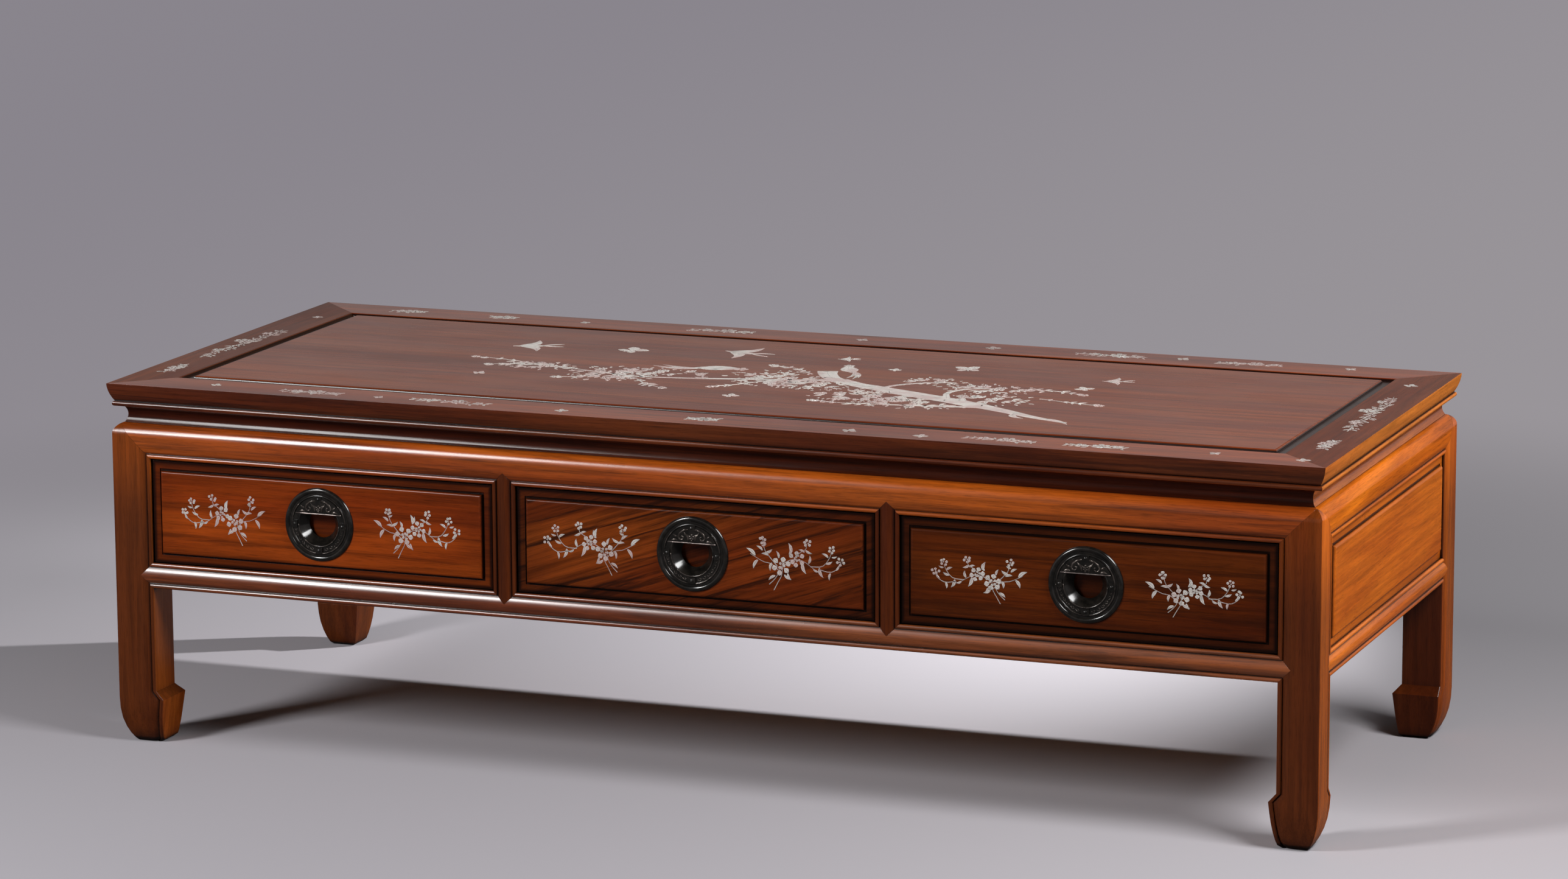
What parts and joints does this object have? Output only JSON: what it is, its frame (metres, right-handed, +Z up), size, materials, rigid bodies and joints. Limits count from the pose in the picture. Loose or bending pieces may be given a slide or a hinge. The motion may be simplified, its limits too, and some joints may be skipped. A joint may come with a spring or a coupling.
{
  "type": "coffee table",
  "caption": "low rosewood coffee table with a framed top, hoof feet, and drawers with round flush pulls",
  "frame": {"origin": "on the floor under the middle of the table", "axes": "X along the length, -Y towards the front with the drawers, +Z up"},
  "size_m": [1.37, 0.555, 0.4024],
  "materials": {
    "rosewood": "gloss",
    "drawer_wood": "matte",
    "pull_metal": "dark patina",
    "pearl": "polished shell"
  },
  "bodies": {
    "carcass": {"top_frame_front": "rosewood", "top_frame_back": "rosewood", "top_frame_left": "rosewood", "top_frame_right": "rosewood", "top_panel": "rosewood", "batten_left": "drawer_wood", "batten_middle": "drawer_wood", "batten_right": "drawer_wood", "waist_front": "rosewood", "waist_back": "rosewood", "waist_left": "rosewood", "waist_right": "rosewood", "leg_front_left": "rosewood", "leg_front_right": "rosewood", "leg_back_right": "rosewood", "leg_back_left": "rosewood", "apron_front": "rosewood", "apron_back": "rosewood", "apron_left": "rosewood", "apron_right": "rosewood", "rail_front": "rosewood", "rail_back": "rosewood", "rail_left": "rosewood", "rail_right": "rosewood", "divider_front_left": "rosewood", "divider_front_right": "rosewood", "divider_back_left": "rosewood", "divider_back_right": "rosewood", "panel_left": "rosewood", "panel_right": "rosewood", "panel_back_left": "rosewood", "panel_back_middle": "rosewood", "panel_back_right": "rosewood", "runner_middle_left": "drawer_wood", "runner_middle_right": "drawer_wood", "runner_end_left": "drawer_wood", "runner_end_right": "drawer_wood", "drawer_stops": "drawer_wood"},
    "drawer_left": {"drawer_front_left": "rosewood", "drawer_side_left_left": "drawer_wood", "drawer_side_left_right": "drawer_wood", "drawer_back_left": "drawer_wood", "drawer_bottom_left": "drawer_wood", "pull_left": "pull_metal", "pull_pins_left": "pull_metal"},
    "drawer_middle": {"drawer_front_middle": "rosewood", "drawer_side_middle_left": "drawer_wood", "drawer_side_middle_right": "drawer_wood", "drawer_back_middle": "drawer_wood", "drawer_bottom_middle": "drawer_wood", "pull_middle": "pull_metal", "pull_pins_middle": "pull_metal"},
    "drawer_right": {"drawer_front_right": "rosewood", "drawer_side_right_left": "drawer_wood", "drawer_side_right_right": "drawer_wood", "drawer_back_right": "drawer_wood", "drawer_bottom_right": "drawer_wood", "pull_right": "pull_metal", "pull_pins_right": "pull_metal"}
  },
  "joints": [
    {"name": "drawer_left_slide", "type": "slide", "parent": "carcass", "child": "drawer_left", "axis": [0, -1, 0], "range_m": [0, 0.36]},
    {"name": "drawer_middle_slide", "type": "slide", "parent": "carcass", "child": "drawer_middle", "axis": [0, -1, 0], "range_m": [0, 0.36]},
    {"name": "drawer_right_slide", "type": "slide", "parent": "carcass", "child": "drawer_right", "axis": [0, -1, 0], "range_m": [0, 0.36]}
  ]
}
